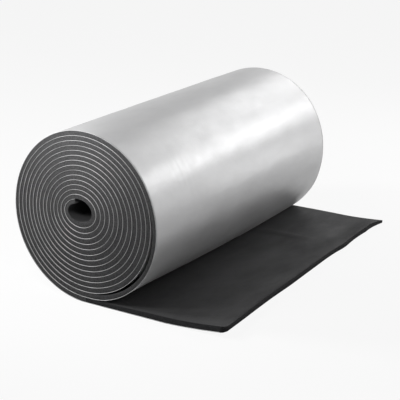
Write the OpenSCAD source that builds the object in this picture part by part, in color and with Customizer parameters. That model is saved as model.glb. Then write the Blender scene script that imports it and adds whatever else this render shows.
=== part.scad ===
// Roll of flexible insulation: a black foam sheet with a metal foil facing, wound up
// with the foil outside, and its free end laid flat on the floor.

/* [Sheet] */
// Width of the sheet, which is the length of the roll
sheet_w = 1000; // [300:10:2000]
// Thickness of the foam
foam_t = 13; // [6:0.5:32]
// Thickness of the foil facing
foil_t = 0.4; // [0.2:0.1:1]

/* [Winding] */
// Turns of the sheet in the roll
turns = 14.45; // [3:0.05:20]
// Steps in one turn of the winding
turn_steps = 60; // [36:12:96]
// How much taller than wide the outermost turn is
outer_oval = 0; // [-20:1:20]
// Deepest gap under the loose outermost turn
loose_gap = 5; // [0:0.5:8]
// Where the loose stretch starts, in turns from the floor
loose_start = 0.66; // [0.5:0.01:0.7]
// Where the loose stretch ends, in turns from the floor
loose_end = 0.97; // [0.9:0.01:0.98]

/* [Bore] */
// Width of the open bore
bore_w = 78; // [50:1:140]
// Height of the open bore
bore_h = 56; // [50:1:140]
// How far the bore lies from the roll's middle, away from the free end
bore_back = 18; // [0:1:20]
// How far the bore lies above the roll's middle
bore_up = 12; // [0:1:20]

/* [Free end] */
// Length that lies unrolled, from under the roll's middle
tail_l = 418; // [340:2:900]
// How far the cut edge lifts off the floor
lift = 10; // [0:1:20]
// Length of the stretch that curls up to the cut edge
curl_l = 130; // [60:5:180]
// Length over which the foam under the roll comes back to its own thickness
ease_l = 60; // [20:5:120]

/* [Hidden] */

sheet_t = foam_t + foil_t;
turn_step = 1 / turn_steps;
wound_steps = round(turns * turn_steps);
wound_turns = wound_steps * turn_step;
// The sheet leaves the floor half a step past the roll's middle, so that a side of the
// outline and not a corner lies under the middle
first_turn = turn_step / 2;
// The bore is the spiral's last half turn and the half turn that would follow it
bore_turn = wound_turns + 0.5;
bore_r = (bore_w + bore_h) / 4;
bore_oval = (bore_h - bore_w) / 4;
curl_steps = 10;
ease_steps = 6;

function mix(a, b, share) = a + (b - a) * share;

// Half height and half width of the spiral, this many turns in from the floor
function mean_r(turn) = bore_r + (bore_turn - turn) * sheet_t;
function oval(turn) = mix(outer_oval / 4, bore_oval, turn / bore_turn);
function half_h(turn) = mean_r(turn) + oval(turn);
function half_w(turn) = mean_r(turn) - oval(turn);

// A point of the spiral in [x, z] from the middle of the roll, seen from the front end:
// it starts at the floor, climbs on the side away from the free end and winds inwards
function wound(turn, depth = 0) = let (a = turn * 360, inward = turn / bore_turn) [
    -inward * bore_back - (half_w(turn) - depth) * sin(a),
    inward * bore_up - (half_h(turn) - depth) * cos(a)
];

// The outermost turn stands off the next one between loose_start and loose_end
function loose_share(turn) = (turn - loose_start) / (loose_end - loose_start);
function looseness(turn) = let (share = loose_share(turn))
    share <= 0 || share >= 1 ? 0 : loose_gap * pow(sin(180 * share), 2);

// The three surfaces of the wound sheet: the foil's outside, the foam on the foil, and
// the foam's inside, which lies on the foil of the next turn
function foil_outside(turn) = wound(turn, -looseness(turn));
function foam_outside(turn) = wound(turn, foil_t - looseness(turn));
function foam_inside(turn) = wound(turn + 1, -looseness(turn));

floor_z = wound(first_turn)[1];
tail_from = foam_inside(-first_turn);
extra_t = tail_from[1] - floor_z - sheet_t;

// The free end: flat on the floor, then curled up along a parabola
function curl(x) = max(0, x - (tail_l - curl_l)) / curl_l;
function tail_rise(x) = lift * pow(curl(x), 2);
function tail_slope(x) = atan(2 * lift * curl(x) / curl_l);
function swell(x) = extra_t * pow(max(0, 1 - (x - tail_from[0]) / ease_l), 2);
function tail(x, height) = [
    x - height * sin(tail_slope(x)),
    floor_z + tail_rise(x) + height * cos(tail_slope(x))
];
curl_x = [for (i = [0 : curl_steps]) tail_l - curl_l + curl_l * i / curl_steps];
curl_back_x = [for (i = [curl_steps : -1 : 0]) curl_x[i]];
ease_x = [for (i = [0 : ease_steps]) tail_from[0] + ease_l * i / ease_steps];

winding = [for (i = [0 : wound_steps]) first_turn + i * turn_step];
unwinding = [for (i = [wound_steps : -1 : 0]) winding[i]];

skin = [for (turn = winding) foil_outside(turn)];
left_x = min([for (p = skin) p[0]]);
middle_x = (left_x + tail(tail_l, 0)[0]) / 2;

// Carries an outline drawn in [x, z] along the roll, with its middle over the origin
module along_roll(outline) {
    translate([-middle_x, sheet_w / 2, -floor_z])
        rotate([90, 0, 0])
            linear_extrude(height = sheet_w) polygon(outline);
}

module foam_sheet() {
    color([0.13, 0.13, 0.14])
        along_roll(concat(
            [for (x = curl_back_x) tail(x, foil_t)],
            [for (turn = winding) foam_outside(turn)],
            [for (turn = unwinding) foam_inside(turn)],
            [for (x = concat(ease_x, curl_x)) tail(x, sheet_t + swell(x))]
        ));
}

module foil_facing() {
    color([0.78, 0.78, 0.79])
        along_roll(concat(
            [for (x = curl_back_x) tail(x, 0)],
            skin,
            [for (turn = unwinding) foam_outside(turn)],
            [for (x = curl_x) tail(x, foil_t)]
        ));
}

foam_sheet();
foil_facing();
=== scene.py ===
# Roll of flexible insulation: a black foam sheet with a silver facing, wound up with the
# facing outside and its free end laid on the floor. Metres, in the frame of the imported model.
import math
import bpy
import numpy as np
from mathutils import Matrix, Vector


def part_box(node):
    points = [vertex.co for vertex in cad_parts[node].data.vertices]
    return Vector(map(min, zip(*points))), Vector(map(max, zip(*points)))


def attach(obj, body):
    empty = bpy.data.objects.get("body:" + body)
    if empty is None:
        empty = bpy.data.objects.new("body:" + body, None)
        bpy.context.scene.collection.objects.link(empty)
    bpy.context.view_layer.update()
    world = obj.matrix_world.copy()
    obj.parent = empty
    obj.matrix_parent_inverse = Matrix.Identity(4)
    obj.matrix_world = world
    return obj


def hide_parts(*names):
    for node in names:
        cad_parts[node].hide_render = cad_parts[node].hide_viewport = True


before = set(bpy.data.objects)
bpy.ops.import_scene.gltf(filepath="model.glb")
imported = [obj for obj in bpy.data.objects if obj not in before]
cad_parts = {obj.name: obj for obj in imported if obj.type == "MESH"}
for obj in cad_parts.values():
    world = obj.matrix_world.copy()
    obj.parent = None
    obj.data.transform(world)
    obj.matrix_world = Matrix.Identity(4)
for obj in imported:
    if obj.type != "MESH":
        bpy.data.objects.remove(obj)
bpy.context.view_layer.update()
print("frame loaded")

# the sheet and the way it is wound. Places along it are turns of the winding, counted
# inwards from the floor, and places across it are shares of its width, from the front
sheet = {
    "foam": 0.013,  # thickness of the foam
    "facing": 0.0004,
    "turns": 14.45,
    "boreWidth": 0.078,
    "boreHeight": 0.056,
    "boreBack": 0.018,  # bore's offset from the roll's middle, away from the free end
    "boreUp": 0.012,
    "looseGap": 0.005,  # under the outermost turn, between the two turns below
    "looseStart": 0.66,
    "looseEnd": 0.97,
    "outermostEnd": 1.02,  # from this turn on the sheet is covered
    "tail": 0.418,  # length that lies unrolled
    "lift": 0.010,  # of the cut edge
    "curl": 0.130,
    "ease": 0.060,  # length in which the foam under the roll thins to its own thickness
    "squat": 0.030,  # the back end is this share wider and lower than the front end
    "askew": -0.0285,  # shift of the roll's back end against its front end
}
sheetThickness = sheet["foam"] + sheet["facing"]
boreTurn = sheet["turns"] + 0.5  # the bore is the last half turn and the one that would follow
boreRadius = (sheet["boreWidth"] + sheet["boreHeight"]) / 4
boreOval = (sheet["boreHeight"] - sheet["boreWidth"]) / 4
low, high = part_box("foil_facing")
frontY, backY = low.y, high.y
rollX = high.x - sheet["tail"]  # the roll's middle
rollZ = boreRadius + boreTurn * sheetThickness


# 0 up to the start, 1 from the end on, and straight between them, also where the end is lower
def ramp(value, start, end):
    return np.clip((value - start) / (end - start), 0, 1)


# the same with a soft rise
def eased(value, start, end):
    share = ramp(value, start, end)
    return share * share * (3 - 2 * share)


# a soft hump, 1 high
def hump(value, middle, width):
    return np.exp(-((value - middle) / width) ** 2)


def meanRadius(turn):
    return boreRadius + (boreTurn - turn) * sheetThickness


# a point of the winding in [x, z], this deep under its outside
def wound(turn, depth):
    turn = np.asarray(turn, float)
    angle, inward = 2 * np.pi * turn, turn / boreTurn
    across = meanRadius(turn) - boreOval * inward - depth
    upright = meanRadius(turn) + boreOval * inward - depth
    return np.stack([
        rollX - inward * sheet["boreBack"] - across * np.sin(angle),
        rollZ + inward * sheet["boreUp"] - upright * np.cos(angle),
    ], -1)


def looseness(turn):
    share = ramp(turn, sheet["looseStart"], sheet["looseEnd"])
    return sheet["looseGap"] * np.sin(np.pi * share) ** 2


# a point of the free end in [x, z], this far from under the roll's middle and this high above
# the underside
def freeEnd(along, height):
    along = np.asarray(along, float)
    curl = np.clip(along - (sheet["tail"] - sheet["curl"]), 0, None) / sheet["curl"]
    slope = np.arctan(2 * sheet["lift"] * curl / sheet["curl"])
    return np.stack([
        rollX + along - height * np.sin(slope),
        sheet["lift"] * curl ** 2 + height * np.cos(slope),
    ], -1)


swellAtRoll = wound(1, 0)[1] - sheetThickness


# how much thicker the foam lies near the roll
def swell(along):
    return swellAtRoll * np.clip(1 - along / sheet["ease"], 0, None) ** 2


# the roll's slow change of shape and place from its front end to its back end
def settled(points, hold):
    share = (points[..., 1] - frontY) / (backY - frontY) - 0.5
    stretch = share * sheet["squat"] * hold
    return np.stack([
        rollX + (points[..., 0] - rollX) * (1 + stretch) + share * sheet["askew"] * hold,
        points[..., 1],
        points[..., 2] * (1 - stretch),
    ], -1)


def placeWound(points):
    return settled(points, 1)


# the slack outermost turn, which sinks onto the free end, more and more towards the back
slack = {
    "front": 0.004,  # how far it stands out beside the free end
    "back": 0.030,  # and how much further at the back
    "backShare": 0.5,  # share of the width in which most of that comes
    "backCurve": 1.5,
    "start": 0.745,
    "full": 0.91,
    "startCurve": 1.6,
    "fade": 0.95,  # turn from which it comes back to the roll
    "leastClear": 0.0003,  # height that it keeps above the free end under the roll
    "clear": 0.004,  # and how much more at its edge, between the two turns below
    "clearFull": 0.915,
    "clearNone": 0.985,
    "folds": (  # turn, width, shares of the sheet's width where it starts and is full, height
        (0.803, 0.016, 0.80, 0.92, -0.0026),  # a shallow fold
        (0.845, 0.020, 0.87, 0.94, 0.0034)),  # and the flap that stands out below it
    "foldFade": 0.93,  # share from which both grow shallower
    "foldLeft": 0.2,  # share of their height at the back end
    "ripple": 0.0005,  # height of the faint wrinkles near the front
    "rippleTurn": 0.665,
    "rippleTurns": 0.03,
    "rippleShare": 0.17,
    "rippleShares": 0.045,
    "rippleLength": 0.024,
    "rippleSlant": 3,
}


def slackAmount(turns, share):
    rise = ramp(turns, slack["start"], slack["full"]) ** slack["startCurve"]
    further = 1 - np.exp(-(share / slack["backShare"]) ** slack["backCurve"])
    amount = (slack["front"] + slack["back"] * further) * rise * ramp(turns, 1, slack["fade"])
    left = 1 - (1 - slack["foldLeft"]) * eased(share, slack["foldFade"], 1)
    for turn, width, start, full, height in slack["folds"]:
        amount = amount + left * height * hump(turns, turn, width) * eased(share, start, full)
    wrinkled = hump(turns, slack["rippleTurn"], slack["rippleTurns"])
    wrinkled = wrinkled * hump(share, slack["rippleShare"], slack["rippleShares"])
    wave = np.sin(2 * np.pi * (share / slack["rippleLength"] + slack["rippleSlant"] * turns))
    return amount + slack["ripple"] * wrinkled * wave


# the shift of the slack turn in [x, z], held above the free end
def slackShift(turns, share):
    amount = slackAmount(turns, share)
    base = wound(turns, -looseness(turns))
    x = base[..., 0] - amount * np.sin(2 * np.pi * turns)
    z = base[..., 1] - amount * np.cos(2 * np.pi * turns)
    clear = slack["leastClear"] + slack["clear"] * ramp(turns, slack["clearNone"], slack["clearFull"])
    onTail = sheetThickness + swell(np.clip(x - rollX, 0, None)) + clear
    return x - base[..., 0], np.maximum(z, np.minimum(base[..., 1], onTail)) - base[..., 1]


def placeOutermost(turns):
    def place(points):
        share = ramp(points[..., 1], frontY, backY)
        across, upright = slackShift(turns[:, None], share)
        return settled(points + np.stack([across, 0 * across, upright], -1), 1)

    return place


# the free end, with its hand-cut edge and its two corners. Shares are of the sheet's width,
# lengths are counted from under the roll's middle
trim = {
    "from": 0.26,  # length at which the edge starts to wander
    "skew": 0.0095,  # how much longer it is at the front
    "bumps": (  # share, width and height
        (0.0, 0.22, 0.0100), (0.38, 0.07, 0.0016), (0.62, 0.08, -0.0015),
        (0.74, 0.045, 0.0040), (0.90, 0.03, 0.0020)),
    "rounding": 0.008,  # of the front corner
    "roundingShare": 0.016,
    "frontLift": 0.0145,  # height of the front corner
    "frontCurl": 0.168,  # length that curls up to it
    "frontCurve": 1.6,
    "frontShare": 0.45,
    "tip": 0.012,  # how far the back corner is drawn out
    "tipSide": 0.008,
    "tipPinch": 0.55,  # share of its thickness that is left at the tip
    "tipShare": 0.09,
    "swell": 0.11,  # the unrolled foam is this share thicker than the squeezed turns
    "swellFull": 0.2,
    "overhang": 0.0020,  # how far the top of the cut edge stands out over its bottom
    "overhangLength": 0.03,
    "frontSlant": 0.0065,  # and how far the top of the front side stands in
    "frontSide": 0.008,
    "ridge": 0.0030,  # height of a soft ridge across the free end
    "ridgeShare": 0.70,
    "ridgeDrift": 0.03,  # how far it runs back as it leaves the roll
    "ridgeWidth": 0.011,
    "ridgeLengths": (0.08, 0.16, 0.24, 0.34),  # where it starts, is full, and fades
}


# lies straight under the roll and gets its trimmed edge further out
def placeTail(along):
    along = along[:, None]
    under = freeEnd(along, 0)[..., 1]
    curl = ramp(along, sheet["tail"] - trim["frontCurl"], sheet["tail"])
    frontRise = trim["frontLift"] * curl ** trim["frontCurve"]
    weight = ramp(along, trim["from"], sheet["tail"]) ** 2
    relaxed = ramp(along, 0, trim["swellFull"])
    atCut = ramp(along, sheet["tail"] - trim["overhangLength"], sheet["tail"])
    start, full, fade, end = trim["ridgeLengths"]
    ridged = ramp(along, start, full) * ramp(along, end, fade)

    def place(points):
        points = settled(points, 1 - along / sheet["tail"])
        share = (points[..., 1] - frontY) / (backY - frontY)
        edge = trim["skew"] * (1 - share)
        for middle, width, height in trim["bumps"]:
            edge = edge + height * hump(share, middle, width)
        edge = edge - trim["rounding"] * ramp(share, trim["roundingShare"], 0) ** 2
        tip = ramp(share, 1 - trim["tipShare"], 1) ** 2
        thick = (1 - (1 - trim["tipPinch"]) * tip * weight) * (1 + trim["swell"] * relaxed)
        upper = np.clip((points[..., 2] - under) / sheetThickness, 0, 1)
        slant = upper * ramp(share, trim["frontSide"], 0) * (along / sheet["tail"]) ** 2
        ridge = ridged * hump(share, trim["ridgeShare"] + trim["ridgeDrift"] * relaxed, trim["ridgeWidth"])
        points[..., 0] += weight * (edge + trim["tip"] * tip) + trim["overhang"] * upper * atCut
        points[..., 1] += weight * trim["tipSide"] * tip + trim["frontSlant"] * slant
        points[..., 2] += trim["ridge"] * upper * ridge
        points[..., 2] = under + (points[..., 2] - under) * thick
        points[..., 2] += eased(share, trim["frontShare"], 0) * np.clip(frontRise - under, 0, None)
        return points

    return place


# turn counts about a step apart along the sheet
def turnsAlong(start, stop, step):
    turns, turn = [start], start
    while turn < stop:
        turn = min(stop, turn + step / (2 * math.pi * meanRadius(turn)))
        turns.append(turn)
    return np.array(turns)


def lengthAlong(points):
    gaps = np.linalg.norm(np.diff(points, axis=0), axis=1)
    return np.concatenate([[0], np.cumsum(gaps)])


# soft irregularity: a few waves of random length, direction and phase, about 1 high
def makeWaves(seed, count, shortest, longest):
    random = np.random.default_rng(seed)
    lengths = random.uniform(shortest, longest, count)
    headings = random.uniform(0, math.pi, count)
    phases = random.uniform(0, 2 * math.pi, count)

    def height(along, across):
        total = 0
        for length, heading, phase in zip(lengths, headings, phases):
            way = along * math.cos(heading) + across * math.sin(heading)
            total = total + np.sin(2 * math.pi * way / length + phase)
        return total / math.sqrt(count)

    return height


# how far the turns stand in and out at the roll's ends, the same for the foam and its facing
ends = {
    "wander": 0.0007,
    "tailWander": 0.4,  # share of it at the cut edge
    "calmLength": 0.5,  # length from the cut edge in which the rest comes
    "room": 0.005,  # between an end and the first row of points beside it
}
frontWander = makeWaves(seed=3, count=5, shortest=0.25, longest=1.3)
backWander = makeWaves(seed=4, count=5, shortest=0.25, longest=1.3)


def endLines(along):
    least = ends["tailWander"]
    wander = ends["wander"] * (least + (1 - least) * ramp(along, 0, ends["calmLength"]))
    return frontY + wander * frontWander(along, 0 * along), backY + wander * backWander(along, 0 * along)


skinFace, cutFace, rimFace = 0, 1, 2  # material slots of a strip's faces


def still(middle):
    return 0 * middle


# some rows of a strip that have the same columns across the sheet. A push moves the faces of
# the sheet outwards
def makeZone(rows, outer, inner, columns, place, edge=cutFace, innerPush=still, outerPush=still):
    front, back = endLines(lengthAlong(outer))
    return {
        "outer": outer[rows], "inner": inner[rows], "front": front[rows, None], "back": back[rows, None],
        "columns": columns, "place": place, "edge": edge, "innerPush": innerPush, "outerPush": outerPush}


# a ring of points round the section for each row: the front end outwards in, the inner face,
# the back end and the outer face
def zoneRings(zone, profile):
    inwards = zone["inner"] - zone["outer"]
    thickness = np.linalg.norm(inwards, axis=1)[:, None]
    inset, depth = profile(thickness)
    front, back = zone["front"], zone["back"]
    first, last = front + ends["room"], back - ends["room"]
    middle = first + (last - first) * zone["columns"]
    ys = np.concatenate([front + inset, middle, back - inset[:, ::-1], middle[:, ::-1]], 1)
    depths = np.concatenate([depth, thickness + 0 * middle, depth[:, ::-1], 0 * middle], 1)
    innerPush, outerPush = zone["innerPush"](middle), zone["outerPush"](middle)
    share = depth / thickness
    push = np.concatenate([
        outerPush[:, :1] * (1 - share) + innerPush[:, :1] * share,
        innerPush,
        outerPush[:, -1:] * (1 - share[:, ::-1]) + innerPush[:, -1:] * share[:, ::-1],
        outerPush[:, ::-1]], 1)
    xz = zone["outer"][:, None, :] + (inwards / thickness)[:, None, :] * (depths - push)[..., None]
    return zone["place"](np.stack([xz[..., 0], ys, xz[..., 1]], -1)), inset.shape[1], middle.shape[1]


# one long closed strip from zones of rings. A ring has a run of end points, a run of column
# points, and both again on the way back
def buildStrip(name, zones, profile):
    verts, faces, kinds = [], [], []

    def addFace(corners, kind):
        faces.append(tuple(corners))
        kinds.append(kind)

    def joinRings(here, there, edge, endCount, half):
        for k in range(2 * half):
            after = (k + 1) % (2 * half)
            onEdge = k % half < endCount - 1
            addFace((here + k, here + after, there + after, there + k), edge if onEdge else skinFace)

    # where zones meet, the ends are joined point by point and each side by one flat face
    def joinZones(old, new, endCount, oldHalf, half):
        for side in (0, 1):
            oldEnd, newEnd = old + side * oldHalf, new + side * half
            for k in range(endCount - 1):
                addFace((oldEnd + k, oldEnd + k + 1, newEnd + k + 1, newEnd + k), cutFace)
        for side in (0, 1):
            first = endCount - 1
            before = [old + (side * oldHalf + k) % (2 * oldHalf) for k in range(first, oldHalf + 1)]
            behind = [new + (side * half + k) % (2 * half) for k in range(first, half + 1)]
            addFace(before + behind[::-1], skinFace)

    # the cut end: faces between the column pairs of the two sides, and one at each end
    def closeEnd(ring, kind, far, endCount, half):
        upper = [ring + k for k in range(endCount - 1, half + 1)]
        lower = [ring + (-k) % (2 * half) for k in range(len(upper))]
        closing = [[upper[k], lower[k], lower[k + 1], upper[k + 1]] for k in range(len(upper) - 1)]
        closing += [[ring + side * half + k for k in range(endCount)] for side in (0, 1)]
        for face in closing:
            addFace(face if far else face[::-1], kind)

    last = None
    for zone in zones:
        rings, endCount, columnCount = zoneRings(zone, profile)
        half = endCount + columnCount
        starts = [len(verts) + row * 2 * half for row in range(len(rings))]
        verts.extend(rings.reshape(-1, 3).tolist())
        for here, there in zip(starts, starts[1:]):
            joinRings(here, there, zone["edge"], endCount, half)
        if last is None:
            closeEnd(starts[0], zone["edge"], False, endCount, half)
        else:
            joinZones(last[0], starts[0], endCount, last[1], half)
        last = (starts[-1], half)
    closeEnd(last[0], cutFace, True, endCount, last[1])
    mesh = bpy.data.meshes.new(name)
    mesh.from_pydata(verts, [], faces)
    mesh.polygons.foreach_set("material_index", kinds)
    mesh.polygons.foreach_set("use_smooth", [True] * len(faces))
    mesh.update()
    piece = bpy.data.objects.new(name, mesh)
    bpy.context.scene.collection.objects.link(piece)
    return piece


# Foam
foam = {
    "outerCorner": 0.0011,  # radius of the rounded cut beside the facing
    "innerCorner": 0.0010,
    "bulge": 0.0004,
    "bulgeShares": (0.3, 0.5, 0.7),
    "slant": 0.0016,  # how much further out the inner side of a turn stands at the ends
    "slantMiddle": 0.4,
    "step": 0.006,
    "tailStep": 0.005,
    "tailColumns": 72,
    "outerColumns": 40,
    "tailWave": 0.0007,
    "tailWaveFull": 0.15,  # length from under the roll's middle at which the waves are full
    "thinned": 0.003,  # how much thinner the slack outermost turn is at its gap
    "dark": (0.028, 0.028, 0.029),
    "light": (0.042, 0.042, 0.043),
    "cutDark": (0.032, 0.032, 0.033),
    "cutLight": (0.062, 0.062, 0.063),
    # the free end's cut sides: the same cut foam painted about half as bright, as painted shade
    "rimPaintedShadeDark": (0.013, 0.013, 0.014),  # the cut sides of the free end
    "rimPaintedShadeLight": (0.026, 0.026, 0.027),
    "smoothSkin": 0.6,
    "roughSkin": 0.8,
    "roughCut": 0.9,
    "skinShine": 0.22,
    "cutShine": 0.15,
}
tailStations = np.linspace(sheet["tail"], 0, round(sheet["tail"] / foam["tailStep"]) + 1)
tailWaves = makeWaves(seed=11, count=6, shortest=0.18, longest=0.5)
coveredColumns = np.array([0.0, 1.0])


# a rounded corner, in (distance in from the end, depth from the outside)
def corner(radius, outside, thickness):
    angles = np.radians([90, 60, 30, 0])
    inset = radius * (1 - np.cos(angles)) + 0 * thickness
    depth = radius * (1 - np.sin(angles)) + 0 * thickness
    return (inset, depth) if outside else (inset[:, ::-1], (thickness - depth)[:, ::-1])


# the squeezed inner side of each turn bulges out of the end, its outer side is held by the facing
def foamProfile(thickness):
    outerInset, outerDepth = corner(foam["outerCorner"], True, thickness)
    innerInset, innerDepth = corner(foam["innerCorner"], False, thickness)
    shares = np.array([foam["bulgeShares"]])
    bulge = foam["bulge"] * np.sin(np.pi * shares) + 0 * thickness
    depth = np.concatenate([outerDepth, thickness * shares, innerDepth], 1)
    slant = foam["slant"] * (foam["slantMiddle"] - depth / thickness)
    return np.concatenate([outerInset, -bulge, innerInset], 1) + slant, depth


def foamPiece():
    turns = np.concatenate([turnsAlong(0, sheet["outermostEnd"], foam["step"])[1:],
                            turnsAlong(sheet["outermostEnd"], sheet["turns"], foam["step"])[1:]])
    loose = looseness(turns)
    thinned = foam["thinned"] * np.sqrt(loose / sheet["looseGap"])
    outer = np.concatenate([
        freeEnd(tailStations, sheet["facing"]), wound(turns, sheet["facing"] - loose)])
    inner = np.concatenate([
        freeEnd(tailStations, sheetThickness + swell(tailStations)), wound(turns + 1, -loose - thinned)])
    fade = ramp(tailStations, 0, foam["tailWaveFull"])[:, None]
    tailEnd = len(tailStations)
    outermost = turns[turns <= sheet["outermostEnd"]]
    coveredStart = tailEnd + len(outermost)

    def relaxedSkin(middle):
        return -fade * foam["tailWave"] * tailWaves(tailStations[:, None], middle)

    zones = [
        makeZone(slice(0, tailEnd), outer, inner, np.linspace(0, 1, foam["tailColumns"]),
                 placeTail(tailStations), edge=rimFace, innerPush=relaxedSkin),
        makeZone(slice(tailEnd, coveredStart), outer, inner, np.linspace(0, 1, foam["outerColumns"]),
                 placeOutermost(outermost)),
        makeZone(slice(coveredStart, None), outer, inner, coveredColumns, placeWound),
    ]
    return buildStrip("foam", zones, foamProfile)


foamObject = foamPiece()
print("foam", len(foamObject.data.polygons), "faces")

# Facing
facing = {
    "lip": 0.0010,  # the crushed edge shows as a line this wide
    "proud": 0.0015,  # and stands this far out of the foam
    "lipCorner": 0.0002,
    "hold": (0.0030, 0.0010),  # distance in from the end of the points that hold the face flat
    "tuck": (0.0004, 0.0012),  # and of those where the lip turns back under the facing
    "tuckDepth": 1.2,  # of the second of them, in thicknesses of the facing
    "columns": 110,
    "step": 0.008,
    "wave": 0.0005,
    "waveRise": 1.4,  # lifts the waves off the foam
    "waveStart": 0.06,  # turns in which they come and go
    "waveEnd": 0.98,
    "dull": (0.525, 0.525, 0.529),
    "bright": (0.59, 0.59, 0.594),
    "smooth": 0.38,
    "rough": 0.46,
    "metal": 0.50,
    "shine": 0.0,
    "edgeDull": (0.37, 0.37, 0.373),
    "edgeBright": (0.52, 0.52, 0.523),
    "edgeSmooth": 0.45,
    "edgeRough": 0.6,
    "edgeMetal": 0.25,
    "edgeShine": 0.3,
}
facingWaves = makeWaves(seed=21, count=9, shortest=0.07, longest=0.30)


def facingProfile(thickness):
    lip, proud, bend = facing["lip"], facing["proud"], facing["lipCorner"]
    points = np.array([
        (facing["hold"][0], 0),
        (facing["hold"][1], 0),
        (0, 0),
        (-proud, bend),
        (-proud, lip - bend),
        (facing["tuck"][0], lip),
        (facing["tuck"][1], facing["tuckDepth"] * sheet["facing"]),
        (facing["hold"][0], 0),
    ])
    inset = points[:, 0] + 0 * thickness
    depth = points[:, 1] + 0 * thickness
    depth[:, -1:] = thickness
    return inset, depth


def facingPiece():
    stations = tailStations[::2]
    outermost = turnsAlong(0, sheet["outermostEnd"], facing["step"])[1:]
    covered = turnsAlong(sheet["outermostEnd"], sheet["turns"], foam["step"])[1:]
    turns = np.concatenate([outermost, covered])
    outer = np.concatenate([freeEnd(stations, 0), wound(turns, -looseness(turns))])
    inner = np.concatenate([
        freeEnd(stations, sheet["facing"]), wound(turns, sheet["facing"] - looseness(turns))])
    shown = len(stations) + len(outermost)
    along = lengthAlong(outer)[:shown, None]
    turnOf = np.concatenate([0 * stations, outermost])[:, None]
    fadeEnd = facing["waveEnd"] - facing["waveStart"]
    fade = ramp(turnOf, 0, facing["waveStart"]) * ramp(turnOf, facing["waveEnd"], fadeEnd)

    def waved(middle):
        across = np.sin(np.pi * np.linspace(0, 1, middle.shape[1]))
        rise = np.clip(facing["waveRise"] + facingWaves(along, middle), 0, None)
        return fade * facing["wave"] * across * rise

    def placeShown(points):
        return np.concatenate([
            placeTail(stations)(points[:len(stations)]),
            placeOutermost(outermost)(points[len(stations):])])

    zones = [
        makeZone(slice(0, shown), outer, inner, np.linspace(0, 1, facing["columns"]), placeShown,
                 outerPush=waved),
        makeZone(slice(shown, None), outer, inner, coveredColumns, placeWound),
    ]
    return buildStrip("facing", zones, facingProfile)


facingObject = facingPiece()
print("facing", len(facingObject.data.polygons), "faces")


# Shader helpers
def newMaterial(name):
    material = bpy.data.materials.new(name)
    material.use_nodes = True
    nodes, links = material.node_tree.nodes, material.node_tree.links
    return material, nodes, links, nodes["Principled BSDF"]


def newGroup(name, inputs, output):
    group = bpy.data.node_groups.new(name, "ShaderNodeTree")
    for socket in inputs:
        group.interface.new_socket(socket, in_out="INPUT", socket_type="NodeSocketFloat")
    group.interface.new_socket(output, in_out="OUTPUT", socket_type="NodeSocketFloat")
    nodes, links = group.nodes, group.links
    return group, nodes, links, nodes.new("NodeGroupInput"), nodes.new("NodeGroupOutput")


# a mask of soft blotches between 0 and 1
def blotchGroup():
    group, nodes, links, inward, outward = newGroup("softBlotches", ("Scale", "Contrast", "Stretch"), "Mask")
    place, squeeze = nodes.new("ShaderNodeTexCoord"), nodes.new("ShaderNodeVectorMath")
    squeeze.operation = "MULTIPLY"
    ratio = nodes.new("ShaderNodeCombineXYZ")
    ratio.inputs["X"].default_value = 1
    ratio.inputs["Z"].default_value = 1
    noise, level = nodes.new("ShaderNodeTexNoise"), nodes.new("ShaderNodeMapRange")
    noise.inputs["Detail"].default_value = 5
    noise.inputs["Roughness"].default_value = 0.55
    spread, lowEdge, highEdge = (nodes.new("ShaderNodeMath") for _ in range(3))
    spread.operation, lowEdge.operation, highEdge.operation = "DIVIDE", "SUBTRACT", "ADD"
    for node in (spread, lowEdge, highEdge):
        node.inputs[0].default_value = 0.5
    links.new(inward.outputs["Stretch"], ratio.inputs["Y"])
    links.new(place.outputs["Object"], squeeze.inputs[0])
    links.new(ratio.outputs["Vector"], squeeze.inputs[1])
    links.new(squeeze.outputs["Vector"], noise.inputs["Vector"])
    links.new(inward.outputs["Scale"], noise.inputs["Scale"])
    links.new(inward.outputs["Contrast"], spread.inputs[1])
    links.new(spread.outputs[0], lowEdge.inputs[1])
    links.new(spread.outputs[0], highEdge.inputs[1])
    links.new(noise.outputs["Fac"], level.inputs["Value"])
    links.new(lowEdge.outputs[0], level.inputs["From Min"])
    links.new(highEdge.outputs[0], level.inputs["From Max"])
    links.new(level.outputs["Result"], outward.inputs["Mask"])
    return group


# the height of small pits and cells
def cellGroup():
    group, nodes, links, inward, outward = newGroup("foamCells", ("Scale",), "Height")
    place, both = nodes.new("ShaderNodeTexCoord"), nodes.new("ShaderNodeMath")
    cells, noise = nodes.new("ShaderNodeTexVoronoi"), nodes.new("ShaderNodeTexNoise")
    both.operation = "ADD"
    noise.inputs["Detail"].default_value = 3
    for texture in (cells, noise):
        links.new(place.outputs["Object"], texture.inputs["Vector"])
        links.new(inward.outputs["Scale"], texture.inputs["Scale"])
    links.new(cells.outputs["Distance"], both.inputs[0])
    links.new(noise.outputs["Fac"], both.inputs[1])
    links.new(both.outputs[0], outward.inputs["Height"])
    return group


blotches, cells = blotchGroup(), cellGroup()


# puts a node group in a material with its own values
def placed(nodes, group, inputs):
    node = nodes.new("ShaderNodeGroup")
    node.node_tree = group
    for name, value in inputs.items():
        node.inputs[name].default_value = value
    return node.outputs[0]


def mixed(nodes, links, mask, target, dark, light):
    mix = nodes.new("ShaderNodeMix")
    mix.data_type = "RGBA"
    mix.inputs[6].default_value = (*dark, 1)
    mix.inputs[7].default_value = (*light, 1)
    links.new(mask, mix.inputs[0])
    links.new(mix.outputs[2], target)


def ranged(nodes, links, mask, target, lowest, highest):
    level = nodes.new("ShaderNodeMapRange")
    level.inputs["To Min"].default_value = lowest
    level.inputs["To Max"].default_value = highest
    links.new(mask, level.inputs["Value"])
    links.new(level.outputs["Result"], target)


def bumped(nodes, links, height, target, strength, distance):
    bump = nodes.new("ShaderNodeBump")
    bump.inputs["Strength"].default_value = strength
    bump.inputs["Distance"].default_value = distance
    links.new(height, bump.inputs["Height"])
    links.new(bump.outputs["Normal"], target)


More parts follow.
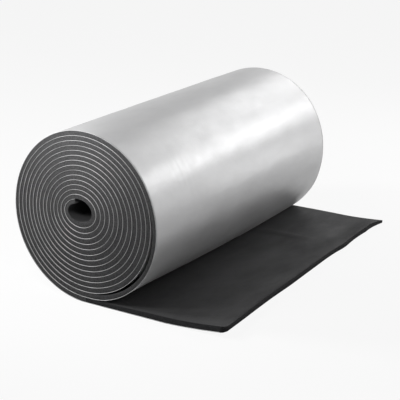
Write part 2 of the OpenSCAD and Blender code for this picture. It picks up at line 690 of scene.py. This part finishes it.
def foamSkin():
    material, nodes, links, shader = newMaterial("foamSkin")
    wide = placed(nodes, blotches, {"Scale": 9, "Contrast": 3, "Stretch": 0.5})
    fine = placed(nodes, cells, {"Scale": 700})
    mixed(nodes, links, wide, shader.inputs["Base Color"], foam["dark"], foam["light"])
    ranged(nodes, links, wide, shader.inputs["Roughness"], foam["roughSkin"], foam["smoothSkin"])
    bumped(nodes, links, fine, shader.inputs["Normal"], strength=0.35, distance=0.0004)
    shader.inputs["Specular IOR Level"].default_value = foam["skinShine"]
    return material


def foamCut(name, dark, light):
    material, nodes, links, shader = newMaterial(name)
    grain = placed(nodes, blotches, {"Scale": 210, "Contrast": 3.5, "Stretch": 0.4})
    fine = placed(nodes, cells, {"Scale": 420})
    mixed(nodes, links, grain, shader.inputs["Base Color"], dark, light)
    bumped(nodes, links, fine, shader.inputs["Normal"], strength=0.7, distance=0.0008)
    shader.inputs["Roughness"].default_value = foam["roughCut"]
    shader.inputs["Specular IOR Level"].default_value = foam["cutShine"]
    return material


def facingFilm():
    material, nodes, links, shader = newMaterial("silverFilm")
    wide = placed(nodes, blotches, {"Scale": 14, "Contrast": 2.5, "Stretch": 0.35})
    creases = placed(nodes, blotches, {"Scale": 45, "Contrast": 1.6, "Stretch": 0.6})
    mixed(nodes, links, wide, shader.inputs["Base Color"], facing["dull"], facing["bright"])
    ranged(nodes, links, creases, shader.inputs["Roughness"], facing["smooth"], facing["rough"])
    bumped(nodes, links, creases, shader.inputs["Normal"], strength=0.25, distance=0.0012)
    shader.inputs["Metallic"].default_value = facing["metal"]
    shader.inputs["Specular IOR Level"].default_value = facing["shine"]
    return material


def facingEdge():
    material, nodes, links, shader = newMaterial("silverEdge")
    wide = placed(nodes, blotches, {"Scale": 40, "Contrast": 3, "Stretch": 1})
    mixed(nodes, links, wide, shader.inputs["Base Color"], facing["edgeDull"], facing["edgeBright"])
    ranged(nodes, links, wide, shader.inputs["Roughness"], facing["edgeSmooth"], facing["edgeRough"])
    shader.inputs["Metallic"].default_value = facing["edgeMetal"]
    shader.inputs["Specular IOR Level"].default_value = facing["edgeShine"]
    return material


# in the order of skinFace, cutFace and rimFace
for material in (
        foamSkin(),
        foamCut("foamCut", foam["cutDark"], foam["cutLight"]),
        # a darker copy of the cut foam for the free end's cut sides: painted shade
        foamCut("foamRimPaintedShade", foam["rimPaintedShadeDark"], foam["rimPaintedShadeLight"])):
    foamObject.data.materials.append(material)
for material in (facingFilm(), facingEdge()):
    facingObject.data.materials.append(material)
print("materials made")

for piece, node, slot in ((foamObject, "foam_sheet", "foam"), (facingObject, "foil_facing", "foil")):
    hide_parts(node)
    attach(piece, "root")

# Studio
studio = {
    "floorReach": 30,
    "floorDrop": 0.0002,  # keeps the floor clear of the roll's underside
    "floorColour": (0.88, 0.88, 0.88),
    "floorRough": 0.9,
    "floorShine": 0.1,
    "background": 1.0,
    "shadowShare": 0.10,  # how much of the floor's own shading the camera sees
    "world": 0.08,
    "lamps": {  # place, aimed at, width, height, watts
        "backTopNear": ((0.1, 1.6, 1.25), (0, 0.3, 0.35), 1.0, 0.8, 7.2),
        "backRightSharp": ((1.5, 2.4, 1.35), (0.1, 0.0, 0.3), 1.4, 0.35, 18.0),
        "leftKey": ((-2.4, -1.2, 1.6), (0, -0.2, 0.2), 0.6, 0.5, 64.0),
        "lowRightBack": ((0.75, 1.0, 0.25), (0.15, 0.2, 0.2), 0.5, 0.3, 1.2),
        "poolTop": ((-0.14, -0.8, 0.58), (-0.14, -0.5, 0.46), 0.2, 0.1, 2.2),
    },
}


# 1 for the rays that show the pale background: the camera's, and those mirrored or let through
def seenRays(nodes, links):
    rays = nodes.new("ShaderNodeLightPath")
    total = rays.outputs["Is Camera Ray"]
    for kind in ("Is Glossy Ray", "Is Transmission Ray"):
        add = nodes.new("ShaderNodeMath")
        add.use_clamp = True
        links.new(total, add.inputs[0])
        links.new(rays.outputs[kind], add.inputs[1])
        total = add.outputs[0]
    return total


def makeFloor():
    mesh = bpy.data.meshes.new("floor")
    reach = studio["floorReach"]
    corners = [(-reach, -reach, 0), (reach, -reach, 0), (reach, reach, 0), (-reach, reach, 0)]
    mesh.from_pydata(corners, [], [(0, 1, 2, 3)])
    floor = bpy.data.objects.new("floor", mesh)
    floor.location.z = -studio["floorDrop"]
    bpy.context.scene.collection.objects.link(floor)
    material, nodes, links, shader = newMaterial("paleFloor")
    shader.inputs["Base Color"].default_value = (*studio["floorColour"], 1)
    shader.inputs["Roughness"].default_value = studio["floorRough"]
    shader.inputs["Specular IOR Level"].default_value = studio["floorShine"]
    glow, mix, share = (nodes.new(kind) for kind in (
        "ShaderNodeEmission", "ShaderNodeMixShader", "ShaderNodeMath"))
    glow.inputs["Strength"].default_value = studio["background"]
    share.operation = "MULTIPLY"
    share.inputs[1].default_value = 1 - studio["shadowShare"]
    links.new(seenRays(nodes, links), share.inputs[0])
    links.new(share.outputs[0], mix.inputs[0])
    links.new(shader.outputs[0], mix.inputs[1])
    links.new(glow.outputs[0], mix.inputs[2])
    links.new(mix.outputs[0], nodes["Material Output"].inputs["Surface"])
    mesh.materials.append(material)


def makeWorld():
    world = bpy.data.worlds.new("studio")
    bpy.context.scene.world = world
    world.use_nodes = True
    nodes, links = world.node_tree.nodes, world.node_tree.links
    light = nodes["Background"]
    backdrop, mix = nodes.new("ShaderNodeBackground"), nodes.new("ShaderNodeMixShader")
    for node, strength in ((light, studio["world"]), (backdrop, studio["background"])):
        node.inputs["Color"].default_value = (1, 1, 1, 1)
        node.inputs["Strength"].default_value = strength
    links.new(seenRays(nodes, links), mix.inputs[0])
    links.new(light.outputs[0], mix.inputs[1])
    links.new(backdrop.outputs[0], mix.inputs[2])
    links.new(mix.outputs[0], nodes["World Output"].inputs["Surface"])


def makeLamps():
    for name, (place, aim, width, height, watts) in studio["lamps"].items():
        lamp = bpy.data.lights.new(name, "AREA")
        lamp.shape = "RECTANGLE"
        lamp.size, lamp.size_y, lamp.energy = width, height, watts
        holder = bpy.data.objects.new(name, lamp)
        holder.location = place
        holder.rotation_mode = "QUATERNION"
        holder.visible_camera = False
        holder.rotation_quaternion = (Vector(aim) - Vector(place)).to_track_quat("-Z", "Y")
        bpy.context.scene.collection.objects.link(holder)


makeFloor()
makeWorld()
makeLamps()

# Camera, at the photograph's viewing angle
view = {
    "place": (1.6848, -2.8585, 1.2504),
    "round": 30.99,  # degrees to the right of the roll's front end
    "above": 18.15,
    "tilt": 0.83,
    "focal": 1198.05,  # in pixels of the frame
    "framePixels": 400,
    "sensor": 36,
    "nearest": 0.05,
    "furthest": 60,
}


def makeCamera():
    sideways, above, tilt = (math.radians(view[name]) for name in ("round", "above", "tilt"))
    ahead = Vector((
        -math.sin(sideways) * math.cos(above), math.cos(sideways) * math.cos(above), -math.sin(above)))
    level = ahead.cross(Vector((0, 0, 1))).normalized()
    upright = level.cross(ahead)
    right = math.cos(tilt) * level + math.sin(tilt) * upright
    up = -math.sin(tilt) * level + math.cos(tilt) * upright
    lens = bpy.data.cameras.new("camera")
    lens.sensor_width = view["sensor"]
    lens.lens = view["focal"] * view["sensor"] / view["framePixels"]
    lens.clip_start, lens.clip_end = view["nearest"], view["furthest"]
    camera = bpy.data.objects.new("camera", lens)
    turned = Matrix((right, up, -ahead)).transposed().to_4x4()
    camera.matrix_world = Matrix.Translation(view["place"]) @ turned
    bpy.context.scene.collection.objects.link(camera)
    bpy.context.scene.camera = camera


makeCamera()
bpy.context.scene.view_settings.view_transform = "Standard"
print("studio and camera ready")

bpy.context.view_layer.update()
